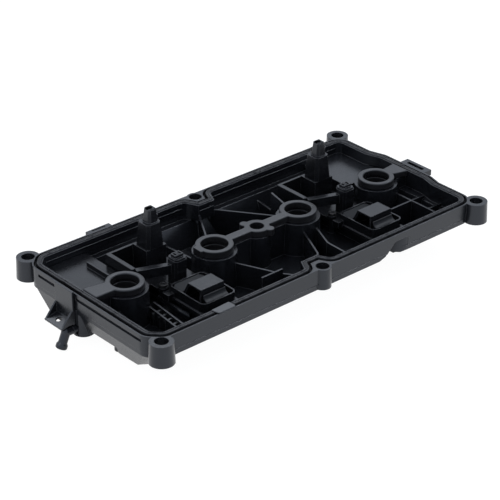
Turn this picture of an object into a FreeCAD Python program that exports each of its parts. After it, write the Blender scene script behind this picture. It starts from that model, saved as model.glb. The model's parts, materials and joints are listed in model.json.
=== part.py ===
import FreeCAD, Part
import math
import os

import Sketcher

# Cylinder head cover, gasket side up.  Origin: axis of the centre bolt on the gasket plane.
# +X along the row of plug wells, +Z out of the open gasket side.  Millimetres.

os.makedirs("parts", exist_ok=True)
doc = FreeCAD.newDocument("HeadCover")
sheet = doc.addObject("Spreadsheet::Sheet", "Dims")
UP = FreeCAD.Vector(0, 0, 1)
values = {}


def store(alias, value):
    """Keep one driving dimension in the sheet under its alias."""
    row = len(values) + 1
    values[alias] = value
    sheet.set(f"A{row}", alias)
    sheet.set(f"B{row}", str(value))
    sheet.setAlias(f"B{row}", alias)


def ref(owner, key, value):
    """Expression for a size: text is used as it is, a number gets its own cell."""
    if isinstance(value, str):
        return value
    alias = f"{owner}_{key}"
    store(alias, value)
    sheet.recompute()
    return f"Dims.{alias}"


MAIN = {
    "pitch": 108.0, "lip_drop": 1.0, "rubber_depth": 7.0, "skirt_low": -18.0, "ledge_low": -19.0,
    "floor_low": -41.0, "roof_low": -44.0, "rim_width": 9.5, "groove_in": 1.0, "groove_out": 8.1,
    "bead_in": 1.1, "bead_out": 8.0, "groove_low": -5.0, "belt_low": -22.6, "belt_width": 9.0,
    "well_bore": 13.4, "tower_bore": 14.0,
    "ring_rad": 18.5, "tower_rad": 22.0, "seal_rad": 15.5, "seal_lip": 12.0, "bolt_rad": 7.0,
    "boss_rad": 11.4, "mid_boss_rad": 8.8, "boss_low": -22.5, "hole_rad": 6.6, "sleeve_rad": 6.55,
    "sleeve_bore": 4.6, "sleeve_top": -9.0, "plate_top": -25.0, "plate_low": -28.0,
    "breather_x": -200.0, "breather_y": 15.0, "stub_z": -39.0,
    "corner_round": 6.0, "rib_thick": 1.8, "tray_round": 6.0, "pocket_round": 4.5, "tower_gap": 23.4,
}
for alias, value in MAIN.items():
    store(alias, value)
sheet.recompute()

WELLS = [("-1.5 * Dims.pitch", 1), ("-0.5 * Dims.pitch", 2), ("0.5 * Dims.pitch", 3), ("1.5 * Dims.pitch", 4)]
CORNER_BOLTS = [(-202.0, 97.25), (-202.0, -103.25), (200.0, -103.25), (200.0, 97.25)]
MID_BOLTS = [(-5.0, -98.6), (-5.0, 87.6)]


def place(obj, x, y, z):
    """Bind an object's position to the sheet."""
    for axis, value in (("x", x), ("y", y), ("z", z)):
        obj.setExpression(f"Placement.Base.{axis}", ref(obj.Name, axis, value))
    return obj


def block(name, x0, x1, y0, y1, z0, z1):
    """Box between two corners."""
    obj = doc.addObject("Part::Box", name)
    low = [ref(name, key, value) for key, value in (("x", x0), ("y", y0), ("z", z0))]
    high = [ref(name, key, value) for key, value in (("xx", x1), ("yy", y1), ("zz", z1))]
    for prop, a, b in zip(("Length", "Width", "Height"), low, high):
        obj.setExpression(prop, f"({b}) - ({a})")
    return place(obj, *low)


def rod(name, x, y, z0, z1, radius):
    """Upright cylinder."""
    obj = doc.addObject("Part::Cylinder", name)
    low = ref(name, "z", z0)
    obj.setExpression("Radius", ref(name, "rad", radius))
    obj.setExpression("Height", f"({ref(name, 'zz', z1)}) - ({low})")
    return place(obj, x, y, low)


def taper(name, x, y, z0, z1, low_radius, top_radius):
    """Upright cone."""
    obj = doc.addObject("Part::Cone", name)
    low = ref(name, "z", z0)
    obj.setExpression("Radius1", ref(name, "rad", low_radius))
    obj.setExpression("Radius2", ref(name, "radd", top_radius))
    obj.setExpression("Height", f"({ref(name, 'zz', z1)}) - ({low})")
    return place(obj, x, y, low)


def lying(name, start, end, radius, top_radius=None):
    """Cylinder or cone along a line in a plane of constant y."""
    kind = "Part::Cylinder" if top_radius is None else "Part::Cone"
    obj = doc.addObject(kind, name)
    along = FreeCAD.Vector(*end) - FreeCAD.Vector(*start)
    obj.Placement.Rotation = FreeCAD.Rotation(UP, along)
    obj.setExpression("Height", ref(name, "length", along.Length))
    if top_radius is None:
        obj.setExpression("Radius", ref(name, "rad", radius))
    else:
        obj.setExpression("Radius1", ref(name, "rad", radius))
        obj.setExpression("Radius2", ref(name, "radd", top_radius))
    return place(obj, *start)


def rib(name, start, end, z0, z1, thick):
    """Upright wall between two points in plan."""
    obj = doc.addObject("Part::Box", name)
    xa, ya = (ref(name, key, value) for key, value in zip(("xa", "ya"), start))
    xb, yb = (ref(name, key, value) for key, value in zip(("xb", "yb"), end))
    wide = ref(name, "thick", thick)
    low = ref(name, "z", z0)
    run = f"sqrt(({xb} - {xa})^2 + ({yb} - {ya})^2)"
    angle = math.degrees(math.atan2(end[1] - start[1], end[0] - start[0]))
    obj.Placement.Rotation = FreeCAD.Rotation(UP, angle)
    obj.setExpression("Length", run)
    obj.setExpression("Width", wide)
    obj.setExpression("Height", f"({ref(name, 'zz', z1)}) - ({low})")
    x = f"{xa} + {wide} / 2 * ({yb} - {ya}) / {run}"
    y = f"{ya} - {wide} / 2 * ({xb} - {xa}) / {run}"
    return place(obj, x, y, low)


def outline(name, points, z):
    """Closed polygon sketch whose corners are bound to the sheet."""
    obj = doc.addObject("Sketcher::SketchObject", name)
    corners = [FreeCAD.Vector(x, y, 0) for x, y in points]
    count = len(corners)
    for i in range(count):
        obj.addGeometry(Part.LineSegment(corners[i], corners[(i + 1) % count]))
    for i in range(count):
        obj.addConstraint(Sketcher.Constraint("Coincident", i, 2, (i + 1) % count, 1))
    for i, (x, y) in enumerate(points):
        for kind, value in (("DistanceX", x), ("DistanceY", y)):
            index = obj.addConstraint(Sketcher.Constraint(kind, -1, 1, i, 1, value))
            obj.setExpression(f"Constraints[{index}]", ref(name, f"{kind[-1].lower()}{i}p", value))
    obj.setExpression("Placement.Base.z", ref(name, "z", z))
    return obj


def grown(name, source, value):
    """Offset of a flat outline."""
    obj = doc.addObject("Part::Offset2D", name)
    obj.Source = source
    obj.Join = "Arc"
    obj.setExpression("Value", ref(name, "offset", value))
    return obj


def raised(name, source, height):
    """Prism on an outline."""
    obj = doc.addObject("Part::Extrusion", name)
    obj.Base = source
    obj.DirMode = "Custom"
    obj.Dir = UP
    obj.Solid = True
    obj.setExpression("LengthFwd", ref(name, "height", height))
    return obj



def rounded_prism(name, points, z, height, growth="0", radius="Dims.corner_round"):
    """Prism on an outline whose outward corners are rounded, then grown outwards."""
    small = grown(f"{name}_small", outline(f"{name}_line", points, z), f"-({radius})")
    return raised(name, grown(f"{name}_soft", small, f"{radius} + {growth}"), height)


def standing_prism(name, points, turn, axis, start, direction, length):
    """Prism on an upright outline, drawn from a start along one axis."""
    line = outline(f"{name}_line", points, 0.0)
    line.Placement.Rotation = turn
    line.setExpression(f"Placement.Base.{axis}", ref(f"{name}_line", "start", start))
    prism = raised(name, line, length)
    prism.Dir = direction
    return prism


def rectangle(x0, x1, y0, y1):
    return [(x0, y1), (x1, y1), (x1, y0), (x0, y0)]


def cut_square(x, y, half, corner):
    """Square round a point with its corners cut off."""
    flat = half - corner
    return [(x + a, y + b) for a, b in ((-half, flat), (-flat, half), (flat, half), (half, flat),
                                        (half, -flat), (flat, -half), (-flat, -half), (-half, -flat))]


def shifted(points, dx):
    return [(x + dx, y) for x, y in points]


def lofted(name, *sections):
    obj = doc.addObject("Part::Loft", name)
    obj.Sections = list(sections)
    obj.Solid = True
    obj.Ruled = True
    return obj


def wedge(name, sizes, turn):
    """Part::Wedge whose corner values are bound to the sheet."""
    obj = doc.addObject("Part::Wedge", name)
    for prop, value in sizes.items():
        obj.setExpression(prop, ref(name, f"{prop.lower()}w", value))
    obj.Placement.Rotation = turn
    return obj


def fuse(name, shapes):
    obj = doc.addObject("Part::MultiFuse", name)
    obj.Shapes = shapes
    return obj


def cut(name, base, *tools):
    obj = doc.addObject("Part::Cut", name)
    obj.Base = base
    obj.Tool = tools[0] if len(tools) == 1 else fuse(f"{name}_tools", list(tools))
    return obj


nodes = {}


def keep(label, obj):
    """Register a finished sub-part under its node name."""
    obj.Label = label
    nodes[label] = obj
    return obj


# Heights that many pieces share: just under the inner floor, the well tops and the rim's top.
FLOOR = "Dims.floor_low - 1"
WELL_TOP = "-Dims.rubber_depth"
LIP = "-Dims.lip_drop"
TIPPED = FreeCAD.Rotation(FreeCAD.Vector(1, 0, 0), 90)
SIDEWAYS = FreeCAD.Rotation(FreeCAD.Vector(1, 1, 1), 120)

# ---- rim, skirt and lower body of the shell ----
RIM = [(-200.5, 77.0), (-191.5, 86.0), (186.5, 84.5), (190.5, 80.5), (190.5, 46.0), (196.0, 28.0),
       (196.0, -34.0), (191.5, -50.0), (191.5, -87.5), (186.5, -92.5), (-191.5, -92.5), (-200.5, -83.5)]
DETOUR_BACK = [(-22.0, 85.3), (-15.0, 70.0), (5.0, 70.0), (12.0, 85.2)]
DETOUR_FRONT = [(12.0, -92.5), (5.0, -79.5), (-15.0, -79.5), (-22.0, -92.5)]
INNER = RIM[:2] + DETOUR_BACK + RIM[2:10] + DETOUR_FRONT + RIM[10:]
LOW_OUT_TOP = [(-208.5, 77.0), (-192.0, 94.0), (188.0, 92.5), (198.0, 83.0), (198.5, -87.0),
               (187.0, -101.3), (-192.0, -101.3), (-208.5, -84.0)]
LOW_OUT_END = [(-204.0, 63.0), (-193.0, 74.0), (172.0, 70.0), (184.0, 58.0), (184.0, -58.0),
               (172.0, -70.5), (-192.0, -72.0), (-200.5, -66.0)]
LOW_IN_TOP = [(-196.0, 70.0), (-186.0, 79.5), (176.0, 78.0), (186.5, 68.0), (187.5, -76.0),
              (178.0, -87.0), (-184.0, -86.0), (-196.0, -77.0)]
LOW_IN_END = [(-188.0, 56.0), (-176.0, 66.5), (170.0, 66.5), (180.5, 56.0), (180.5, -56.0),
              (170.0, -67.0), (-176.0, -67.0), (-188.0, -57.0)]

skirt = rounded_prism("skirt", RIM, "Dims.skirt_low", "-Dims.skirt_low - Dims.lip_drop", "Dims.rim_width")
belt = rounded_prism("belt", RIM, "Dims.belt_low", "Dims.skirt_low - Dims.belt_low", "Dims.belt_width")
hollow = rounded_prism("hollow", INNER, "Dims.ledge_low", "-Dims.ledge_low")
lower = lofted("lower", outline("low_out_end", LOW_OUT_END, "Dims.roof_low"),
               outline("low_out_top", LOW_OUT_TOP, "Dims.belt_low"))
lower_hollow = lofted("lower_hollow", outline("low_in_end", LOW_IN_END, "Dims.floor_low"),
                      outline("low_in_top", LOW_IN_TOP, "Dims.skirt_low"))
envelope = fuse("envelope", [skirt, belt, lower])

# ---- well towers, coil bosses, bolt bosses and the webs that join the wells to the rim ----
COIL_DX = 24.0
COIL_DY = 22.0
COIL_POINTS = [(f"{n}_{side + 1}", f"{x} + {COIL_DX * side}", COIL_DY * side)
               for x, n in WELLS for side in (-1, 1)]
WEBS = {"bar_web": (-38.0, 38.0, -5.5, 5.5), "left_web": (-201.5, -180.0, -5.5, 11.0),
        "right_web": (180.0, 197.0, -9.0, 7.0), "stub_web": (-74.5, -72.0, -5.0, 8.0)}

adds = [cut("body", envelope, hollow, lower_hollow)]
for x, n in WELLS:
    adds.append(taper(f"tower_{n}", x, 0.0, FLOOR, WELL_TOP, 24.0, "Dims.tower_rad"))
    adds.append(rod(f"coil_collar_{n}", x, 0.0, -52.0, "Dims.floor_low", 20.0))
for tag, x, y in COIL_POINTS:
    adds.append(rod(f"coil_boss_{tag}", x, y, -54.0, FLOOR, 6.0))
adds.append(rod("centre_boss", 0.0, 0.0, FLOOR, WELL_TOP, 14.0))
adds.append(rod("centre_collar", 0.0, 0.0, -50.0, "Dims.floor_low", 12.0))
for i, (x, y) in enumerate(CORNER_BOLTS):
    adds.append(taper(f"corner_boss_{i}", x, y, "Dims.boss_low", LIP, 12.2, "Dims.boss_rad"))
for i, (x, y) in enumerate(MID_BOLTS):
    adds.append(rod(f"mid_boss_{i}", x, y, "Dims.boss_low", LIP, "Dims.mid_boss_rad"))
for name, sides in WEBS.items():
    adds.append(block(name, *sides, "Dims.floor_low", WELL_TOP))

# ---- ribs inside the shell: name, start, end and top, all trimmed to the outer body ----
RIBS = [
    ("rib_back_left", (-12.0, 74.0), (-46.0, 18.0), -12.0),
    ("rib_back_right", (3.0, 74.0), (44.0, 18.0), -12.0),
    ("rib_front_left", (-46.0, -18.0), (-26.0, -64.0), -16.0),
    ("rib_front_boss", (-26.0, -64.0), (-11.0, -84.0), -16.0),
    ("rib_front_mid", (45.0, -18.0), (26.0, -59.0), -15.0),
    ("rib_front_bend", (26.0, -59.0), (2.0, -84.0), -15.0),
    ("strap_upper", (61.0, -18.0), (47.5, -50.0), -15.0),
    ("strap_lower", (47.5, -50.0), (46.6, -89.0), -15.0),
    ("front_bar", (-52.0, -66.0), (-26.0, -66.0), -10.0),
    ("right_long", (143.0, -41.5), (190.0, -41.5), -15.0),
    ("right_cross", (172.0, -20.0), (172.0, -89.0), -15.0),
    ("right_short", (172.0, -65.0), (190.0, -65.0), -15.0),
    ("ladder_in", (-140.0, -14.0), (-146.0, -80.0), -25.0),
    ("ladder_out", (-148.0, -16.0), (-154.0, -80.0), -25.0),
    ("left_front", (-180.0, -14.0), (-190.0, -70.0), -20.0),
    ("chamber_side", (-145.0, 14.0), (-145.0, 81.0), -19.0),
    ("chamber_end", (-197.0, 13.5), (-180.0, 13.5), -19.0),
    ("mid_back", (-60.0, 20.0), (-66.0, 80.0), -25.0),
    ("mid_back_2", (60.0, 20.0), (68.0, 80.0), -25.0),
    ("bar_right", (55.0, 22.0), (61.0, 47.0), -3.0),
]
# The slanted recess in the front wall: its front view, its section and the liner that closes it inside.
RELIEF = [(58.0, -46.0), (58.0, -26.0), (76.0, -20.0), (88.0, -8.0), (106.0, -8.0), (114.0, -15.0),
          (118.0, -26.0), (118.0, -46.0)]
RELIEF_SLOPE = [(-104.0, -8.0), (-101.5, -8.0), (-50.0, -46.0), (-104.0, -46.0)]
RELIEF_LINER = [(-93.0, -11.0), (-56.0, -38.3), (-56.0, -43.0), (-93.0, -43.0)]
ALONG = FreeCAD.Vector(1, 0, 0)
FORWARD = FreeCAD.Vector(0, -1, 0)
RUNGS = 6
RUNG_STEP = 9.0
inside = [rib(name, start, end, FLOOR, top, "Dims.rib_thick") for name, start, end, top in RIBS]
for i in range(RUNGS):
    y = -26.0 - RUNG_STEP * i
    inside.append(block(f"rung_{i}", -152.0, -142.0, y - 2.0, y, FLOOR, -27.0))
inside.append(block("right_shelf", 142.0, 192.0, 22.0, 86.0, -16.0, -13.0))
inside.append(block("right_shelf_wall", 142.0, 144.5, 22.0, 80.0, FLOOR, -16.0))
inside.append(standing_prism("relief_liner", RELIEF_LINER, SIDEWAYS, "x", 56.0, ALONG, 65.0))
trimmed = doc.addObject("Part::MultiCommon", "trimmed")
trimmed.Shapes = [fuse("inside", inside), envelope]
adds.append(trimmed)

# ---- outside features of the shell ----
adds.append(rod("breather_boss", "Dims.breather_x", "Dims.breather_y",
                "Dims.roof_low", "Dims.ledge_low", 10.5))
adds.append(block("bracket_pad", -210.7, -208.0, 20.0, 38.0, -16.0, -2.0))
adds.append(block("right_tab", 204.0, 216.0, -26.0, 8.0, -7.0, LIP))
adds.append(block("back_tab", -132.0, -104.0, 94.5, 100.5, -12.0, LIP))
for i, y in enumerate((-36.0, 36.0)):
    adds.append(block(f"roof_rib_{i}", -170.0, 165.0, y - 1.25, y + 1.25, -47.0, "Dims.roof_low + 0.5"))

# ---- supports and screw pilots under the two baffles: side, middle and the well beside it ----
BAFFLES = [("left", -100.0, "-0.5 * Dims.pitch"), ("right", 118.0, "1.5 * Dims.pitch")]
SCREWS = [(-19.0, -2.0), (17.5, 20.0)]
SCREW_POINTS = [(f"{side}_{j}", cx + dx, dy) for side, cx, _ in BAFFLES for j, (dx, dy) in enumerate(SCREWS)]
for side, cx, _ in BAFFLES:
    for j, dx in enumerate((-14.0, 14.0)):
        x = cx + dx
        adds.append(block(f"seat_{side}_{j}", x - 1.5, x + 1.5, -60.0, 50.0, FLOOR, "Dims.plate_low"))
for tag, x, y in SCREW_POINTS:
    adds.append(rod(f"pilot_boss_{tag}", x, y, FLOOR, "Dims.plate_low", 4.2))

# ---- bores, groove and pockets of the shell ----
drills = [rod(f"pilot_{tag}", x, y, -39.0, "Dims.plate_low + 1", 1.7) for tag, x, y in SCREW_POINTS]
for x, n in WELLS:
    drills.append(rod(f"tower_bore_{n}", x, 0.0, -60.0, 1.0, "Dims.tower_bore"))
    drills.append(rod(f"seal_pocket_{n}", x, 0.0, -16.0, 1.0, "Dims.seal_rad"))
for tag, x, y in COIL_POINTS:
    drills.append(rod(f"insert_hole_{tag}", x, y, -55.0, -45.0, 3.55))
drills.append(rod("centre_bore", 0.0, 0.0, -60.0, 1.0, "Dims.bolt_rad"))
for i, (x, y) in enumerate(CORNER_BOLTS + MID_BOLTS):
    drills.append(rod(f"bolt_hole_{i}", x, y, -60.0, 1.0, "Dims.hole_rad"))
drills.append(cut("groove", rounded_prism("groove_wide", INNER, "Dims.groove_low", 10.0, "Dims.groove_out"),
                  rounded_prism("groove_core", INNER, "Dims.groove_low", 10.0, "Dims.groove_in")))
drills.append(rod("breather_bore", "Dims.breather_x", "Dims.breather_y", -60.0, -20.0, 8.5))
drills.append(block("stub_slot", -212.0, -206.0, "Dims.breather_y - 4.6", "Dims.breather_y + 4.6",
                    -60.0, "Dims.stub_z + 4.6"))
drills.append(lying("gas_port", (-196.0, 18.0, -27.0), (-182.0, 18.0, -27.0), 2.5))
drills.append(block("right_tab_slot", 208.0, 212.5, -20.0, 2.0, -8.0, 1.0))
drills.append(block("back_tab_slot", -126.0, -110.0, 97.0, 99.0, -14.0, 1.0))
relief = doc.addObject("Part::MultiCommon", "relief")
relief.Shapes = [standing_prism("relief_front", RELIEF, TIPPED, "y", -50.0, FORWARD, 54.0),
                 standing_prism("relief_slope", RELIEF_SLOPE, SIDEWAYS, "x", 50.0, ALONG, 75.0)]
drills.append(cut("relief_cut", relief, rod("relief_bulge", 106.0, -88.0, -24.0, -7.0, 13.5),
                  block("relief_belt", 106.0, 121.0, -101.8, -75.0, -24.0, -7.0)))
drills.append(block("end_groove_back", -212.0, -208.2, 41.0, 70.0, -8.2, -5.2))
drills.append(block("end_groove_front", -212.0, -208.2, -84.0, 11.5, -8.2, -5.2))
drills.append(block("end_notch", -216.0, -193.0, -39.0, 3.0, -46.0, -37.5))
keep("cover_shell", cut("cover_shell", fuse("shell_solid", adds), *drills))

# ---- perimeter gasket ----
bead = cut("bead", rounded_prism("bead_far", INNER, "Dims.groove_low", "-Dims.groove_low", "Dims.bead_out"),
           rounded_prism("bead_near", INNER, "Dims.groove_low", "-Dims.groove_low", "Dims.bead_in"))
bead_pad = block("bead_pad", -136.0, -113.5, -101.6, -92.0, LIP, 0.0)
keep("perimeter_gasket", fuse("perimeter_gasket", [bead, bead_pad]))


# ---- rubber rings on the wells and lip seals inside them ----
def rubber_group(label, wells, extras, holes):
    solids = [rod(f"{label}_ring_{n}", x, 0.0, WELL_TOP, 0.0, "Dims.ring_rad") for x, n in wells]
    bores = [rod(f"{label}_bore_{n}", x, 0.0, -10.0, 1.0, "Dims.well_bore") for x, n in wells]
    keep(label, cut(label, fuse(f"{label}_solid", solids + extras), *(bores + holes)))


def web_pad(name, points):
    return raised(name, outline(f"{name}_line", points, WELL_TOP), "Dims.rubber_depth")


LEFT_PAD = [(-200.3, 14.0), (-200.3, -6.5), (-176.0, -7.0), (-174.0, 9.0)]
RIGHT_PAD = [(195.8, -12.0), (195.8, 9.0), (176.0, 6.5), (176.0, -6.5)]
rubber_group("well_gasket_left", WELLS[:1], [web_pad("left_web_pad", LEFT_PAD)], [])
rubber_group("well_gasket_right", WELLS[3:], [web_pad("right_web_pad", RIGHT_PAD)], [])
rubber_group("well_gasket_centre", WELLS[1:3], [
    block("centre_web_pad", -40.0, 40.0, -5.0, 5.0, WELL_TOP, 0.0),
    rod("centre_pad", 0.0, 0.0, WELL_TOP, 0.0, 12.5),
    rod("centre_ear_back", -6.5, 11.5, WELL_TOP, 0.0, 4.5),
    rod("centre_ear_front", 6.5, -11.5, WELL_TOP, 0.0, 4.5),
    block("stub_pad", -74.5, -68.0, -4.5, 7.5, WELL_TOP, 0.0),
], [rod("centre_pad_hole", 0.0, 0.0, -10.0, 1.0, "Dims.bolt_rad")])
for x, n in WELLS:
    seal = rod(f"seal_body_{n}", x, 0.0, -16.0, -8.0, 15.4)
    lip = taper(f"seal_cone_{n}", x, 0.0, -17.0, -7.0, "Dims.seal_lip + 1", "Dims.seal_lip")
    keep(f"tube_seal_{n}", cut(f"tube_seal_{n}", seal, lip))

# ---- plate over the breather chamber ----
PLATE = [(-199.5, 16.0), (-199.5, 76.0), (-190.5, 85.0), (-143.8, 85.0), (-143.8, 16.0)]
plate_line = outline("plate_line", PLATE, "Dims.ledge_low")
plate_solid = fuse("plate_solid", [raised("plate_prism", plate_line, 6.0),
                                   rib("plate_rib", (-158.5, 29.0), (-158.5, 63.0), -14.0, -8.0, 2.0)])
plate_inside = raised("plate_inside", grown("plate_small", plate_line, -3.0), 3.0)
plate_round = rod("plate_round", "-1.5 * Dims.pitch", 0.0, -25.0, -5.0, 24.6)
keep("separator_plate", cut("separator_plate", plate_solid, plate_inside, plate_round))

# ---- baffles; every x in these tables is measured from the baffle's middle ----
TOWER_Y = 41.0
FLANGE = [(-43.0, 14.0), (-43.0, 55.0), (23.0, 55.0), (23.0, -65.0), (-22.0, -65.0), (-22.0, 14.0)]
TRAY = rectangle(-20.5, 20.5, -63.0, -12.0)
POCKET = rectangle(-19.0, 19.0, -61.5, -13.5)
HOOD = {"Xmin": -17.0, "Xmax": 14.0, "Zmin": 25.0, "Zmax": 54.5, "X2min": -15.5, "X2max": 12.0,
        "Z2min": 35.0, "Z2max": 53.5, "Ymin": 0.0, "Ymax": 19.5}
SCOOP = {"Xmin": -18.0, "Xmax": 12.0, "Zmin": 28.0, "Zmax": 52.5, "X2min": -18.0, "X2max": 10.5,
         "Z2min": 37.0, "Z2max": 51.5, "Ymin": 0.0, "Ymax": 17.5}


def baffle(side, cx, next_well):
    """Flange, sunk tray, hood, rails and the bases of the two towers."""
    def across(name, dx0, dx1, y0, y1, z0, z1):
        return block(f"{name}_{side}", cx + dx0, cx + dx1, y0, y1, z0, z1)

    def wall(name, start, end, z0, z1, thick):
        return rib(f"{name}_{side}", *shifted([start, end], cx), z0, z1, thick)

    flange = outline(f"baffle_line_{side}", shifted(FLANGE, cx), "Dims.plate_low")
    solids = [
        raised(f"flange_{side}", flange, "Dims.plate_top - Dims.plate_low"),
        rounded_prism(f"tray_{side}", shifted(TRAY, cx), "Dims.plate_low", 13.0, radius="Dims.tray_round"),
        raised(f"short_tower_{side}", outline(f"short_tower_line_{side}", cut_square(cx, 0.0, 7.3, 2.2),
                                              "Dims.plate_low"), 29.0),
        across("tower_base", -12.0, 12.0, 31.0, 53.0, "Dims.plate_low", -1.0),
        across("clip", -27.5, -20.0, -20.0, -12.0, "Dims.plate_low", -21.0),
        wall("rail", (-40.5, 14.5), (-40.5, 54.5), "Dims.plate_low", -2.0, 4.5),
        wall("back_wall", (-42.0, 53.5), (-10.0, 53.5), "Dims.plate_low", -2.0, 2.5),
        wall("strap", (-38.0, 14.5), (-5.0, 2.0), -14.0, -4.0, 6.0),
    ]
    holes = [
        rounded_prism(f"pocket_{side}", shifted(POCKET, cx), -24.0, 25.0, radius="Dims.pocket_round"),
        rod(f"plug_socket_{side}", cx, 0.0, -9.0, 4.0, 5.5),
        rod(f"tube_socket_{side}", cx, TOWER_Y, -12.0, 4.0, 7.6),
        rod(f"drain_hole_{side}", cx, TOWER_Y, -30.0, -10.0, 4.0),
        rod(f"well_gap_{side}", next_well, 0.0, -30.0, -20.0, "Dims.tower_gap"),
        across("base_hollow", -9.0, 9.0, 33.5, 50.5, -29.0, -14.0),
    ]
    for tag, x, y in SCREW_POINTS:
        if tag.startswith(side):
            solids.append(rod(f"screw_boss_{tag}", x, y, "Dims.plate_low", -22.0, 5.0))
            holes.append(rod(f"screw_hole_{tag}", x, y, -30.0, -20.0, 1.9))
    hood = place(wedge(f"hood_{side}", HOOD, TIPPED), cx, 0.0, -24.5)
    scoop = place(wedge(f"scoop_{side}", SCOOP, TIPPED), cx, 0.0, -24.5)
    tray = cut(f"tray_cut_{side}", fuse(f"baffle_solid_{side}", solids), *holes)
    keep(f"baffle_{side}", fuse(f"baffle_{side}", [tray, cut(f"hood_shell_{side}", hood, scoop)]))


def drain_tube(side, cx):
    """Tall stepped tower: spigot, tapered column, offset head with a slotted top, and a bore."""
    def ring(name, x, half, corner, z):
        return outline(f"{name}_{side}", cut_square(x, TOWER_Y, half, corner), z)

    head_x = cx + 1.2
    solid = fuse(f"tube_solid_{side}", [
        rod(f"tube_spigot_{side}", cx, TOWER_Y, -12.0, 0.0, 7.5),
        lofted(f"tube_column_{side}", ring("column_low", cx, 10.6, 3.2, -1.0),
               ring("column_high", cx, 8.4, 2.8, 24.0)),
        lofted(f"tube_head_{side}", ring("head_low", head_x, 6.7, 2.6, 20.0),
               ring("head_high", head_x, 4.8, 2.0, 37.0)),
        block(f"tube_spine_{side}", cx - 2.0, cx + 8.2, 38.0, 48.9, 20.0, 29.5),
        block(f"tube_top_{side}", head_x - 3.6, head_x + 3.6, TOWER_Y - 3.6, TOWER_Y + 3.6, 36.0, 38.0),
    ])
    slot = block(f"tube_slot_{side}", head_x - 2.6, head_x + 2.6, TOWER_Y - 1.6, TOWER_Y + 1.6, 35.5, 39.0)
    bore = rod(f"tube_bore_{side}", cx, TOWER_Y, -13.0, 39.0, 3.2)
    keep(f"drain_tube_{side}", cut(f"drain_tube_{side}", solid, bore, slot))


def drain_plug(side, cx):
    """Snap plug of the short tower, with two pull loops on its head."""
    head = outline(f"plug_head_line_{side}", cut_square(cx, 0.0, 6.7, 2.0), 1.0)
    solids = [rod(f"plug_stem_{side}", cx, 0.0, -9.0, 1.5, 5.4), raised(f"plug_head_{side}", head, 2.0)]
    slots = []
    for j, loop_x in enumerate((cx - 5.0, cx + 0.4)):
        solids.append(block(f"plug_loop_{side}_{j}", loop_x, loop_x + 4.6, -3.5, 3.5, 2.5, 6.0))
        slots.append(block(f"plug_slot_{side}_{j}", loop_x + 1.1, loop_x + 3.5, -2.3, 2.3, 2.4, 7.0))
    keep(f"drain_plug_{side}", cut(f"drain_plug_{side}", fuse(f"plug_solid_{side}", solids), *slots))


for side, cx, next_well in BAFFLES:
    baffle(side, cx, next_well)
    drain_tube(side, cx)
    drain_plug(side, cx)


# ---- metal fasteners ----
def tube(name, x, y, z0, z1, radius, bore):
    """Plain sleeve with a bore right through it."""
    return cut(name, rod(f"{name}_out", x, y, z0, z1, radius), rod(f"{name}_in", x, y, -60.0, 0.0, bore))


keep("bolt_sleeves", fuse("bolt_sleeves", [
    tube(f"sleeve_{i}", x, y, "Dims.boss_low", "Dims.sleeve_top", "Dims.sleeve_rad", "Dims.sleeve_bore")
    for i, (x, y) in enumerate(CORNER_BOLTS + MID_BOLTS)]))
keep("coil_screw_inserts", fuse("coil_screw_inserts", [
    tube(f"insert_{tag}", x, y, -54.0, -45.0, 3.5, 2.1) for tag, x, y in COIL_POINTS]))
screws = []
for tag, x, y in SCREW_POINTS:
    screw = fuse(f"screw_solid_{tag}", [rod(f"screw_head_{tag}", x, y, -22.0, -19.0, 4.0),
                                        rod(f"screw_shank_{tag}", x, y, -38.0, -21.0, 1.6)])
    screws.append(cut(f"screw_{tag}", screw, rod(f"screw_recess_{tag}", x, y, -20.6, -18.0, 1.8)))
keep("baffle_screws", fuse("baffle_screws", screws))

# ---- bracket on the left end ----
GUSSET = {"Xmin": -225.5, "Xmax": -213.0, "Zmin": 0.0, "Zmax": 2.0, "X2min": -214.0, "X2max": -213.0,
          "Z2min": 0.0, "Z2max": 2.0, "Ymin": -33.0, "Ymax": -19.0}
flange = doc.addObject("Part::Box", "bracket_flange")
for prop, key, value in (("Length", "long", 14.5), ("Width", "wide", 27.0), ("Height", "thick", 2.0)):
    flange.setExpression(prop, ref("bracket_flange", key, value))
flange.Placement.Rotation = FreeCAD.Rotation(FreeCAD.Vector(0, 1, 0), -17)
place(flange, -226.0, 13.0, -35.2)
gussets = [place(wedge(f"gusset_{i}", GUSSET, TIPPED), 0.0, y, 0.0) for i, y in enumerate((15.0, 40.0))]
plate = block("bracket_plate", -213.2, -210.7, 13.0, 40.0, -38.0, 1.0)
keep("end_bracket", cut("end_bracket", fuse("bracket_solid", [plate, flange] + gussets),
                        rod("bracket_hole", -219.0, 27.0, -45.0, -20.0, 3.0),
                        block("bracket_notch", -216.0, -208.0, 12.0, 21.0, -39.0, -33.9)))

# ---- breather valve ----
bx = "Dims.breather_x"
by = "Dims.breather_y"
housing = fuse("housing_solid", [rod("housing_tube", bx, by, -46.5, -20.5, 8.4),
                                 rod("housing_flange", bx, by, -46.5, -44.0, 10.5),
                                 lying("housing_stub", (-206.0, 15.0, -39.0), (-214.0, 15.0, -39.0), 4.4)])
ring_groove = cut("ring_groove", rod("groove_disc", bx, by, -25.2, -22.8, 9.5),
                  rod("groove_hub", bx, by, -26.0, -22.0, 6.6))
keep("pcv_body", cut("pcv_body", housing, rod("housing_bore", bx, by, -43.5, -20.0, 5.6), ring_groove,
                     lying("housing_port", (-203.0, 15.0, -39.0), (-215.0, 15.0, -39.0), 2.4),
                     lying("housing_counter", (-210.0, 15.0, -39.0), (-215.0, 15.0, -39.0), 3.4)))
o_ring = doc.addObject("Part::Torus", "o_ring")
o_ring.setExpression("Radius1", ref("o_ring", "major", 7.5))
o_ring.setExpression("Radius2", ref("o_ring", "minor", 0.85))
keep("pcv_o_ring", place(o_ring, bx, by, -24.0))
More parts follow.
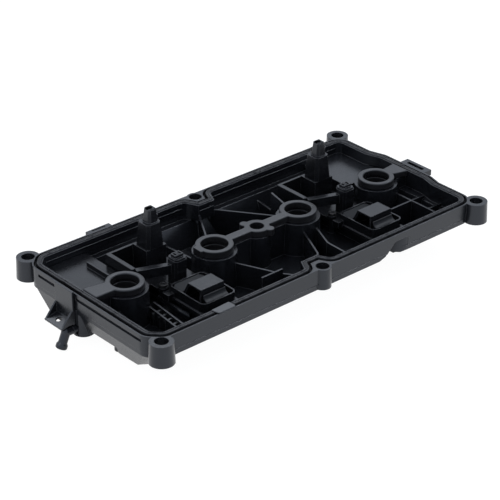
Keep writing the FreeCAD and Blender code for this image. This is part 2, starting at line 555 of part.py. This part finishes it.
keep("pcv_seat", cut("pcv_seat", rod("seat_disc", bx, by, -23.0, -20.5, 5.55),
                     rod("seat_hole", bx, by, -24.0, -20.0, 2.4)))
keep("pcv_plunger", fuse("pcv_plunger", [rod("plunger_disc", bx, by, -25.1, -23.1, 4.4),
                                         rod("plunger_stem", bx, by, -33.0, -24.5, 1.6)]))
helix = doc.addObject("Part::Helix", "spring_path")
for prop, key, value in (("Pitch", "pitch", 3.2), ("Height", "tall", 17.0), ("Radius", "rad", 3.2)):
    helix.setExpression(prop, ref("spring_path", key, value))
wire = doc.addObject("Part::Circle", "spring_wire")
wire.setExpression("Radius", ref("spring_wire", "rad", 0.4))
wire.Placement.Rotation = TIPPED
wire.setExpression("Placement.Base.x", "Dims.spring_path_rad")
spring = doc.addObject("Part::Sweep", "pcv_spring")
spring.Sections = [wire]
spring.Spine = helix
spring.Solid = True
spring.Frenet = True
keep("pcv_spring", place(spring, bx, by, -42.8))

# ---- bent hose connector: its leg flares to a bead whose land ends just short of the tip ----
LEG_TOP = (-220.5, 15.0, -39.0)
LEG_END = (-227.0, 15.0, -54.0)
FLARE_START = 0.63
LAND_START = 0.75
LAND_END = 0.94


def down_leg(share):
    """Point on the connector's leg, as a share of its length from the elbow."""
    return tuple(a + share * (b - a) for a, b in zip(LEG_TOP, LEG_END))


elbow = doc.addObject("Part::Sphere", "barb_elbow")
elbow.setExpression("Radius", ref("barb_elbow", "rad", 4.6))
place(elbow, *LEG_TOP)
barb = fuse("barb_solid", [
    elbow,
    lying("barb_spigot", (-210.5, 15.0, -39.0), (-214.5, 15.0, -39.0), 3.3),
    lying("barb_arm", (-214.0, 15.0, -39.0), LEG_TOP, 4.4),
    lying("barb_leg", LEG_TOP, LEG_END, 4.4),
    lying("barb_flare", down_leg(FLARE_START), down_leg(LAND_START), 4.4, 5.6),
    lying("barb_land", down_leg(LAND_START), down_leg(LAND_END), 5.6),
    lying("barb_tip", down_leg(LAND_END), LEG_END, 5.6, 4.8),
])
keep("hose_barb", cut("hose_barb", barb,
                      lying("barb_bore_in", (-209.0, 15.0, -39.0), LEG_TOP, 2.4),
                      lying("barb_bore_out", LEG_TOP, down_leg(1.3), 2.4)))

doc.recompute()
for obj in doc.Objects:
    if "Invalid" in obj.State or "Error" in obj.State:
        raise RuntimeError(f"{obj.Name} did not compute: {obj.State}")
for label, obj in nodes.items():
    shape = obj.Shape
    if shape.isNull() or not shape.isValid():
        raise RuntimeError(f"{label} has no valid shape")
    shape.exportStep(f"parts/{label}.step")
    print(label, len(shape.Solids), round(shape.Volume / 1000, 2), shape.BoundBox)
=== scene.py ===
import json
import math

import bmesh
import bpy
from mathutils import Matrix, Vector
from mathutils.bvhtree import BVHTree


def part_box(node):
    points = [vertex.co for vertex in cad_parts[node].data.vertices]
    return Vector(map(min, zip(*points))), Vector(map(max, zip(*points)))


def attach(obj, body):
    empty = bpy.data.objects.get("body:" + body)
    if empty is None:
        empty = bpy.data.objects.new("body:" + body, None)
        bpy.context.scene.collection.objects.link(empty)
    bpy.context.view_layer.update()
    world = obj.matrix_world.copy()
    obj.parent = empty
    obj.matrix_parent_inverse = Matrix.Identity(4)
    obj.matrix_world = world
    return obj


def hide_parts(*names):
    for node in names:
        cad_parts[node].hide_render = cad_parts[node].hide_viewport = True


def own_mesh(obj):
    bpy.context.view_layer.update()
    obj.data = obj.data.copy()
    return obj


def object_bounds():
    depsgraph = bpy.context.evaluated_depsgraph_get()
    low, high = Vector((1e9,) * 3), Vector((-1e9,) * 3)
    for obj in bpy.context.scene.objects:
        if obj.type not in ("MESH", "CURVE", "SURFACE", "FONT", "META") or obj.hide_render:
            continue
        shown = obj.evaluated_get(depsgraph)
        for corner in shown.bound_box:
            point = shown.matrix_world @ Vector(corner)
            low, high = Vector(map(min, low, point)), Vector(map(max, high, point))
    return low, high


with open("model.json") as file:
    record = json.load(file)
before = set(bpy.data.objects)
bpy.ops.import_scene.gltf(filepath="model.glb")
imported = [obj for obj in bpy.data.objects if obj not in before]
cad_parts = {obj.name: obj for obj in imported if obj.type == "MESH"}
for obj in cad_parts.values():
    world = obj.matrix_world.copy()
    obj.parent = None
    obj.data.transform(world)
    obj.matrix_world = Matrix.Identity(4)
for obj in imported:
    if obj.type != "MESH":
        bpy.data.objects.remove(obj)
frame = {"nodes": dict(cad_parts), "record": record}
nodes = frame["nodes"]
MM = 0.001
SAME_POINT = 2e-6  # metres; vertices nearer than this count as one


def plain_box(bounds):
    return [[float(v) for v in corner] for corner in bounds]


cad_bounds = plain_box(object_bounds())


# ---------- materials ----------
def new_material(name):
    mat = bpy.data.materials.new(name)
    mat.use_nodes = True
    tree = mat.node_tree
    return mat, tree, tree.nodes["Principled BSDF"]


def noise(tree, scale, detail=3.0, rough=0.55):
    coords = tree.nodes.new("ShaderNodeTexCoord")
    tex = tree.nodes.new("ShaderNodeTexNoise")
    tex.inputs["Scale"].default_value = scale
    tex.inputs["Detail"].default_value = detail
    tex.inputs["Roughness"].default_value = rough
    tree.links.new(coords.outputs["Object"], tex.inputs["Vector"])
    return tex.outputs["Fac"]


def ramp(tree, source, low, high, start=0.3, end=0.7):
    node = tree.nodes.new("ShaderNodeMapRange")
    node.inputs["From Min"].default_value = start
    node.inputs["From Max"].default_value = end
    node.inputs["To Min"].default_value = low
    node.inputs["To Max"].default_value = high
    tree.links.new(source, node.inputs["Value"])
    return node.outputs["Result"]


def mixed(tree, factor, low, high):
    node = tree.nodes.new("ShaderNodeMix")
    node.data_type = "RGBA"
    node.inputs["A"].default_value = (*low, 1)
    node.inputs["B"].default_value = (*high, 1)
    tree.links.new(factor, node.inputs["Factor"])
    return node.outputs["Result"]


EDGE_TURN = (0.80, 0.99)


def edge_mask(tree, radius):
    """1 on edges, 0 on flats: how far the rounded normal leaves the true one; it places the painted edge
    highlight.
    """
    bevel = tree.nodes.new("ShaderNodeBevel")
    bevel.samples = 4
    bevel.inputs["Radius"].default_value = radius
    geometry = tree.nodes.new("ShaderNodeNewGeometry")
    dot = tree.nodes.new("ShaderNodeVectorMath")
    dot.operation = "DOT_PRODUCT"
    tree.links.new(bevel.outputs["Normal"], dot.inputs[0])
    tree.links.new(geometry.outputs["Normal"], dot.inputs[1])
    return bevel.outputs["Normal"], ramp(tree, dot.outputs["Value"], 1.0, 0.0, *EDGE_TURN)


COOL = (0.88, 0.94, 1.05, 1)
# painted highlight: a lighter colour on the edges, broken up by noise, stands in for glints along them
EDGE_HIGHLIGHT_TONE = (0.06, 0.06, 0.065, 1)
EDGE_HIGHLIGHT_REACH = 0.0008
EDGE_HIGHLIGHT_RANGE = (0.25, 0.9)
# painted shade: an occlusion lookup lowers the sheen in hollows
HOLLOW_SHADE_REACH = 0.045
HOLLOW_SHADE_SHEEN = 0.35
HOLLOW_SHADE_RANGE = (0.25, 0.85)
CLOUD_SCALE = 18.0
FLOW_SCALE = 70.0
GRAIN_SCALE = 1600.0
GRAIN_DEPTH = 0.0003
METAL_SCALE = 400.0


def moulded(name, dark, light, rough, grain, specular=0.5):
    """Moulded plastic or rubber: cloudy colour, a painted highlight on the edges, fine grain, and painted
    shade in hollows, where the sheen is lower.
    """
    mat, tree, shader = new_material(name)
    links = tree.links
    cloud = noise(tree, CLOUD_SCALE, 4.0)
    fine = noise(tree, GRAIN_SCALE, 2.0)
    flow = noise(tree, FLOW_SCALE, 5.0, 0.65)
    base = mixed(tree, ramp(tree, cloud, 0.0, 1.0), dark, light)
    normal, mask = edge_mask(tree, EDGE_HIGHLIGHT_REACH)
    # painted highlight on the edges, mixed into the base colour
    highlight_amount = tree.nodes.new("ShaderNodeMath")
    highlight_amount.operation = "MULTIPLY"
    links.new(mask, highlight_amount.inputs[0])
    links.new(ramp(tree, flow, *EDGE_HIGHLIGHT_RANGE), highlight_amount.inputs[1])
    highlight_mix = tree.nodes.new("ShaderNodeMix")
    highlight_mix.data_type = "RGBA"
    highlight_mix.inputs["B"].default_value = EDGE_HIGHLIGHT_TONE
    links.new(highlight_amount.outputs[0], highlight_mix.inputs["Factor"])
    links.new(base, highlight_mix.inputs["A"])
    links.new(highlight_mix.outputs["Result"], shader.inputs["Base Color"])
    links.new(ramp(tree, flow, *rough), shader.inputs["Roughness"])
    # painted shade: less sheen where the occlusion lookup finds hollows
    hollow_shade = tree.nodes.new("ShaderNodeAmbientOcclusion")
    hollow_shade.samples = 8
    hollow_shade.inputs["Distance"].default_value = HOLLOW_SHADE_REACH
    sheen = ramp(tree, hollow_shade.outputs["AO"], specular * HOLLOW_SHADE_SHEEN, specular, *HOLLOW_SHADE_RANGE)
    links.new(sheen, shader.inputs["Specular IOR Level"])
    shader.inputs["Specular Tint"].default_value = COOL
    bump = tree.nodes.new("ShaderNodeBump")
    bump.inputs["Strength"].default_value = grain
    bump.inputs["Distance"].default_value = GRAIN_DEPTH
    links.new(fine, bump.inputs["Height"])
    links.new(normal, bump.inputs["Normal"])
    links.new(bump.outputs["Normal"], shader.inputs["Normal"])
    return mat


def metal(name, low, high, rough):
    mat, tree, shader = new_material(name)
    flow = noise(tree, METAL_SCALE, 4.0)
    tree.links.new(mixed(tree, ramp(tree, flow, 0.0, 1.0), low, high), shader.inputs["Base Color"])
    tree.links.new(ramp(tree, flow, *rough), shader.inputs["Roughness"])
    shader.inputs["Metallic"].default_value = 1.0
    return mat


NYLON = moulded("black_nylon", (0.0046, 0.0050, 0.0062), (0.0070, 0.0076, 0.0094),
                rough=(0.15, 0.24), grain=0.22)
BAFFLE = moulded("baffle_nylon", (0.0036, 0.0038, 0.0046), (0.0056, 0.0060, 0.0072),
                 rough=(0.15, 0.24), grain=0.20, specular=0.42)
# rougher than the baffle nylon, and also darker with less sheen: the darkness is painted shade for the
# hood skirts and tray ramps
SHADED_DULL = moulded("shaded_dull_nylon", (0.0030, 0.0032, 0.0038), (0.0046, 0.0050, 0.0060),
               rough=(0.30, 0.42), grain=0.20, specular=0.20)
RUBBER = moulded("black_rubber", (0.0060, 0.0060, 0.0068), (0.0095, 0.0095, 0.0105),
                 rough=(0.26, 0.38), grain=0.25, specular=0.48)
# darker and less glossy than the black rubber: painted shade for the dark band along the rim
SHADED_BEAD = moulded("shaded_bead_rubber", (0.0050, 0.0050, 0.0056), (0.0080, 0.0080, 0.0090),
               rough=(0.22, 0.32), grain=0.20, specular=0.22)
PAD = moulded("pad_rubber", (0.020, 0.021, 0.023), (0.028, 0.029, 0.031),
              rough=(0.30, 0.42), grain=0.20)
SCREW = metal("screw_steel", (0.055, 0.056, 0.060), (0.090, 0.091, 0.095), rough=(0.36, 0.50))
STEEL = metal("zinc_steel", (0.42, 0.42, 0.43), (0.62, 0.62, 0.63), rough=(0.28, 0.45))
BRASS = metal("insert_brass", (0.55, 0.40, 0.17), (0.75, 0.58, 0.28), rough=(0.25, 0.40))
SLOTS = {"black_nylon": NYLON, "baffle_nylon": BAFFLE, "black_rubber": RUBBER, "zinc_steel": STEEL,
         "insert_brass": BRASS}


def dress(obj, mat):
    obj.data.materials.clear()
    obj.data.materials.append(mat)


# ---------- CAD nodes: material and softened edges ----------
# edge widths in mm
PLAIN_EDGE = 0.3
EDGE_WIDTH = {"cover_shell": 0.5,
              "well_gasket_left": 1.2, "well_gasket_centre": 1.2, "well_gasket_right": 1.2,
              "baffle_left": 0.6, "baffle_right": 0.6,
              "drain_tube_left": 0.7, "drain_tube_right": 0.7}
FLAT_ANGLE = math.radians(1.0)
NODE_BEVEL_ANGLE = math.radians(40)
for entry in frame["record"]["subparts"]:
    obj = nodes[entry["node"]]
    dress(obj, SCREW if entry["node"] == "baffle_screws" else SLOTS[entry["material_slot"]])
    for polygon in obj.data.polygons:
        polygon.use_smooth = True
    if "custom_normal" in obj.data.attributes:
        obj.data.attributes.remove(obj.data.attributes["custom_normal"])
    weld = obj.modifiers.new("weld", "WELD")
    weld.merge_threshold = SAME_POINT
    flat = obj.modifiers.new("flat", "DECIMATE")
    flat.decimate_type = "DISSOLVE"
    flat.angle_limit = FLAT_ANGLE
    bevel = obj.modifiers.new("bevel", "BEVEL")
    bevel.width = EDGE_WIDTH.get(entry["node"], PLAIN_EDGE) * MM
    bevel.segments = 2
    bevel.limit_method = "ANGLE"
    bevel.angle_limit = NODE_BEVEL_ANGLE
    bevel.harden_normals = True
    weighted = obj.modifiers.new("weighted", "WEIGHTED_NORMAL")
    weighted.keep_sharp = True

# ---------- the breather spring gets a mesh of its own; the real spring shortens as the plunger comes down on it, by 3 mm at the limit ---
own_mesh(nodes["pcv_spring"])

# ---------- sealing bead round the rim; lengths in mm ----------
BEAD_STEP = 1.5
# section of the bead: distance outward from the inner edge, and height over the gasket plane
BEAD_PROFILE = [(0.0, -5.0), (0.0, -0.9), (0.5, -0.2), (1.2, 0.0), (1.8, -0.6), (2.6, -0.7),
                (3.2, -0.1), (3.9, -0.2), (4.4, -1.2), (4.6, -2.9), (4.9, -4.4), (6.9, -4.5),
                (6.9, -5.0)]
# the profile points that a pip lifts
BEAD_CREST = (3, 6, 7)
PIP_PITCH = 25.0
PIP_HEIGHT = 0.35
PIP_LENGTH = 2.0
TURN_WINDOW = 8.0
SHARP_ANGLE = math.radians(32)
LEVEL = 1e-5  # metres; a vertex this near the top height lies in the top face
SMALL_LOOP = 8


def inner_top_loop(obj):
    """Points in mm round the inner edge of an object's highest faces."""
    shape = bmesh.new()
    shape.from_mesh(obj.data)
    bmesh.ops.remove_doubles(shape, verts=shape.verts, dist=SAME_POINT)
    top = max(vert.co.z for vert in shape.verts)
    high = {face for face in shape.faces
            if all(abs(vert.co.z - top) < LEVEL for vert in face.verts)}
    border = [edge for edge in shape.edges if sum(face in high for face in edge.link_faces) == 1]
    beside = {}
    for edge in border:
        a, b = edge.verts
        beside.setdefault(a, []).append(b)
        beside.setdefault(b, []).append(a)
    loops = []
    while beside:
        start = next(iter(beside))
        loop = [start]
        here = start
        while here in beside:
            onward = [vert for vert in beside.pop(here) if vert in beside]
            if not onward:
                break
            here = onward[0]
            loop.append(here)
        loops.append([Vector((vert.co.x, vert.co.y)) / MM for vert in loop])
    shape.free()
    loops = [loop for loop in loops if len(loop) > SMALL_LOOP]
    return min(loops, key=lambda loop: max(p.x for p in loop) - min(p.x for p in loop))


def even_steps(points, step):
    """The closed line through points, walked in equal steps."""
    ends = points[1:] + points[:1]
    lengths = [(b - a).length for a, b in zip(points, ends)]
    count = round(sum(lengths) / step)
    pace = sum(lengths) / count
    walked = []
    before = 0.0
    for a, b, length in zip(points, ends, lengths):
        while len(walked) < count and len(walked) * pace < before + length:
            walked.append(a.lerp(b, (len(walked) * pace - before) / length))
        before += length
    return walked


def averaged(vectors, reach):
    """Each vector of a closed line averaged with its neighbours."""
    count = len(vectors)
    spread = range(-reach, reach + 1)
    return [sum((vectors[(i + j) % count] for j in spread), Vector((0, 0))) / len(spread)
            for i in range(count)]


def outward_normals(path):
    """Unit vectors pointing out of a closed line, evened out over TURN_WINDOW on each side."""
    turns = sum(a.x * b.y - a.y * b.x for a, b in zip(path, path[1:] + path[:1]))
    side = 1 if turns > 0 else -1
    normals = []
    for i, after in enumerate(path[1:] + path[:1]):
        along = (after - path[i - 1]).normalized()
        normals.append(Vector((along.y, -along.x)) * side)
    return [normal.normalized() for normal in averaged(normals, round(TURN_WINDOW / BEAD_STEP))]


def new_piece(name, verts, faces, mat, slot, node=None):
    """A piece on the cover from points in mm; node names the CAD node that it stands for."""
    mesh = bpy.data.meshes.new(name)
    mesh.from_pydata([Vector(vert) * MM for vert in verts], [], faces)
    shape = bmesh.new()
    shape.from_mesh(mesh)
    bmesh.ops.recalc_face_normals(shape, faces=shape.faces)
    for edge in shape.edges:
        edge.smooth = edge.calc_face_angle(0.0) < SHARP_ANGLE
    shape.to_mesh(mesh)
    shape.free()
    piece = bpy.data.objects.new(name, mesh)
    bpy.context.scene.collection.objects.link(piece)
    for polygon in mesh.polygons:
        polygon.use_smooth = True
    dress(piece, mat)
    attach(piece, "cover")
    if node:
        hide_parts(node)
    return piece


def bevelled(piece, width):
    soften = piece.modifiers.new("bevel", "BEVEL")
    soften.width = width * MM
    soften.segments = 2
    soften.limit_method = "ANGLE"
    soften.harden_normals = True


def prism_mesh(ends):
    """Vertices and faces of the solid between two matching outlines."""
    first, last = ends
    count = len(first)
    sides = [(i, (i + 1) % count, (i + 1) % count + count, i + count) for i in range(count)]
    return first + last, sides + [tuple(range(count)), tuple(range(count, 2 * count))]


def sealing_bead():
    path = averaged(even_steps(inner_top_loop(nodes["perimeter_gasket"]), BEAD_STEP), 1)
    normals = outward_normals(path)
    verts = []
    for i, (point, normal) in enumerate(zip(path, normals)):
        nearest_pip = abs((i * BEAD_STEP + PIP_PITCH / 2) % PIP_PITCH - PIP_PITCH / 2)
        for j, (offset, height) in enumerate(BEAD_PROFILE):
            pip = PIP_HEIGHT if j in BEAD_CREST and nearest_pip < PIP_LENGTH else 0.0
            across = point + normal * offset
            verts.append((across.x, across.y, height + pip))
    size = len(BEAD_PROFILE)
    count = len(path)
    faces = []
    for i in range(count):
        for j in range(size):
            here = i * size
            after = (i + 1) % count * size
            beside = (j + 1) % size
            faces.append((here + j, after + j, after + beside, here + beside))
    # the bead takes the shaded bead rubber: painted shade
    new_piece("sealing_bead", verts, faces, SHADED_BEAD, "black_rubber", "perimeter_gasket")


sealing_bead()

# ---------- moulded details; lengths in mm ----------
BAFFLES = {"left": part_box("drain_tube_left"), "right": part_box("drain_tube_right")}
PAD_LINE = [(-136.6, -93.2), (-134.6, -100.9), (-132.6, -101.8), (-116.4, -101.8), (-114.4, -100.6),
            (-115.2, -92.0)]
PAD_HEIGHTS = (-1.4, 0.3)
PAD_EDGE = 0.4
TRAY_FLOOR = -23.7
# the skirt's outline in y and z, and its two ends in x from the middle of the baffle
SKIRT = [(-54.8, -10.5), (-55.5, -13.0), (-57.5, -15.0), (-61.2, -16.2), (-61.2, TRAY_FLOOR),
         (-54.8, TRAY_FLOOR)]
SKIRT_ENDS = (-14.0, 12.5)
RAMP_LINE = [(-14.6, -13.8), (14.6, -13.8), (18.6, -17.8), (18.6, -24.4), (-18.6, -24.4),
             (-18.6, -17.8)]
# y and z of the ramp's top at its back and front
RAMP_BACK = (-13.8, -15.8)
RAMP_FRONT = (-24.4, -19.5)
COMB_X = -123.6
COMB_ROOT = (-46.0, 1.0)
COMB_HALF = 0.6
COMB_HEIGHTS = (-40.5, -31.5)
TOOTH_PITCH = 2.6
TOOTH_START = 0.6
TOOTH_HALF = 0.5
TOOTH_WIDTH = 1.2
TOOTH_HEIGHTS = (-31.8, -30.2)


def upright(points, low, high):
    return prism_mesh([[(x, y, low) for x, y in points], [(x, y, high) for x, y in points]])


def bar(x0, x1, y0, y1, z0, z1):
    return upright([(x0, y0), (x1, y0), (x1, y1), (x0, y1)], z0, z1)


def joined(meshes):
    """Several meshes as one."""
    verts = []
    faces = []
    for some, around in meshes:
        faces += [tuple(i + len(verts) for i in face) for face in around]
        verts += some
    return verts, faces


def ramp_height(y):
    share = (y - RAMP_BACK[0]) / (RAMP_FRONT[0] - RAMP_BACK[0])
    return RAMP_BACK[1] + share * (RAMP_FRONT[1] - RAMP_BACK[1])


bevelled(new_piece("bead_pad", *upright(PAD_LINE, *PAD_HEIGHTS), PAD, "black_rubber"), PAD_EDGE)
# the hood skirts and tray ramps take the shaded dull nylon: painted shade
for side, (low, high) in BAFFLES.items():
    middle = (low[0] + high[0]) / 2 / MM
    skirt = prism_mesh([[(middle + dx, y, z) for y, z in SKIRT] for dx in SKIRT_ENDS])
    bevelled(new_piece(f"hood_skirt_{side}", *skirt, SHADED_DULL, "baffle_nylon"), PLAIN_EDGE)
    ramp = prism_mesh([[(middle + x, y, TRAY_FLOOR) for x, y in RAMP_LINE],
                       [(middle + x, y, ramp_height(y)) for x, y in RAMP_LINE]])
    bevelled(new_piece(f"tray_ramp_{side}", *ramp, SHADED_DULL, "baffle_nylon"), PLAIN_EDGE)

teeth = int((COMB_ROOT[1] - COMB_ROOT[0]) / TOOTH_PITCH)
comb = [bar(COMB_X - COMB_HALF, COMB_X + COMB_HALF, *COMB_ROOT, *COMB_HEIGHTS)]
comb += [bar(COMB_X - TOOTH_HALF, COMB_X + TOOTH_HALF, y, y + TOOTH_WIDTH, *TOOTH_HEIGHTS)
         for y in (COMB_ROOT[0] + TOOTH_START + TOOTH_PITCH * i for i in range(teeth))]
new_piece("comb_rib", *joined(comb), NYLON, "black_nylon")

RIDGE_STEP = 2.0
RIDGE_ROOT = 0.4
RIDGE_PROUD = 0.5
RIDGE_HALF = 0.45
WALL_STEP = 0.8
SHORT_RUN = 5
# y to look from, way to look along y, height, and the two ends in x
RIDGES = {"front_ridge": (-130.0, 1, -17.0, (-185, 185)),
          "back_ridge": (130.0, -1, -17.0, (-185, 185)),
          "inner_ledge": (68.0, 1, -7.0, (-190, 185))}
cover_tree = BVHTree.FromPolygons([vert.co for vert in nodes["cover_shell"].data.vertices],
                                  [polygon.vertices for polygon in nodes["cover_shell"].data.polygons])


def wall_line(y_start, way, z, x_ends):
    """Runs of points along a wall, found by looking at it from y_start.

    A run stops where the wall steps.
    """
    runs = [[]]
    for i in range(int((x_ends[1] - x_ends[0]) / RIDGE_STEP) + 1):
        x = x_ends[0] + RIDGE_STEP * i
        hit = cover_tree.ray_cast(Vector((x, y_start, z)) * MM, Vector((0, way, 0)))[0]
        if runs[-1] and (hit is None or abs(hit.y / MM - runs[-1][-1][1]) > WALL_STEP):
            runs.append([])
        if hit is not None:
            runs[-1].append((x, hit.y / MM))
    return [run for run in runs if len(run) > SHORT_RUN]


def ridge(run, way, z):
    """Closed three-sided bead along a run, its root inside the wall."""
    verts = [(x, y + way * dy, z + dz) for x, y in run
             for dy, dz in ((RIDGE_ROOT, -RIDGE_HALF), (-RIDGE_PROUD, 0.0), (RIDGE_ROOT, RIDGE_HALF))]
    faces = [(0, 1, 2), tuple(len(verts) - 3 + i for i in range(3))]
    for i in range(0, len(verts) - 3, 3):
        faces += [(i + j, i + 3 + j, i + 3 + (j + 1) % 3, i + (j + 1) % 3) for j in range(3)]
    return verts, faces


for name, (y_start, way, z, x_ends) in RIDGES.items():
    runs = wall_line(y_start, way, z, x_ends)
    new_piece(name, *joined([ridge(run, way, z) for run in runs]), NYLON, "black_nylon")

# ---------- floor, light, camera ----------
FLOOR_HALF = 6.0
FLOOR_CLOUD_SCALE = 3.0
# the floor is white by its own glow, over a dark paint
FLOOR_PAINT = ((0.09, 0.09, 0.09), (0.10, 0.10, 0.10))
FLOOR_WHITE = ((0.98, 0.98, 0.98), (1.0, 1.0, 1.0))
FLOOR_GLOW = 0.97
SKY = (0.89, 0.95, 1.04, 1)
CAMERA_LENS = 135.5
CAMERA_PLACE = (-1.0640, -1.2058, 0.8666)
CAMERA_WAY = (0.5756, 0.6578, -0.4858)
# place, size in metres and power of each softbox
SOFTBOXES = {"key": ((0.3, 0.9, 1.4), (1.6, 1.0), 10),
             "side": ((-1.6, 0.3, 0.9), (1.0, 0.8), 4),
             "edge": ((0.9, -0.2, 1.6), (0.12, 1.2), 9)}
floor_z = cad_bounds[0][2]
floor_mesh = bpy.data.meshes.new("floor")
shape = bmesh.new()
bmesh.ops.create_grid(shape, x_segments=1, y_segments=1, size=FLOOR_HALF)
shape.to_mesh(floor_mesh)
shape.free()
floor = bpy.data.objects.new("floor", floor_mesh)
floor.location.z = floor_z
bpy.context.scene.collection.objects.link(floor)
floor_mat, floor_tree, floor_shader = new_material("floor_white")
floor_shader.inputs["Roughness"].default_value = 0.9
floor_shader.inputs["Specular IOR Level"].default_value = 0.1
floor_paint = mixed(floor_tree, noise(floor_tree, FLOOR_CLOUD_SCALE), *FLOOR_PAINT)
floor_glow = mixed(floor_tree, noise(floor_tree, FLOOR_CLOUD_SCALE), *FLOOR_WHITE)
floor_tree.links.new(floor_paint, floor_shader.inputs["Base Color"])
floor_tree.links.new(floor_glow, floor_shader.inputs["Emission Color"])
floor_shader.inputs["Emission Strength"].default_value = FLOOR_GLOW
dress(floor, floor_mat)

world = bpy.data.worlds.new("studio")
world.use_nodes = True
background = world.node_tree.nodes["Background"]
background.inputs["Color"].default_value = SKY
background.inputs["Strength"].default_value = 1.0
bpy.context.scene.world = world


def softbox(name, place, size, power):
    """A rectangular lamp at place, aimed at the frame's origin."""
    light = bpy.data.lights.new(name, "AREA")
    light.shape = "RECTANGLE"
    light.size, light.size_y = size
    light.energy = power
    lamp = bpy.data.objects.new(name, light)
    lamp.location = place
    lamp.rotation_euler = (Vector((0, 0, 0)) - Vector(place)).to_track_quat("-Z", "Y").to_euler()
    bpy.context.scene.collection.objects.link(lamp)


for name, (place, size, power) in SOFTBOXES.items():
    softbox(name, place, size, power)

camera_data = bpy.data.cameras.new("camera")
camera_data.sensor_width = 36.0
camera_data.lens = CAMERA_LENS
camera = bpy.data.objects.new("camera", camera_data)
camera.location = CAMERA_PLACE
camera.rotation_euler = Vector(CAMERA_WAY).to_track_quat("-Z", "Y").to_euler()
bpy.context.scene.collection.objects.link(camera)
bpy.context.scene.camera = camera
bpy.context.scene.view_settings.view_transform = "Standard"
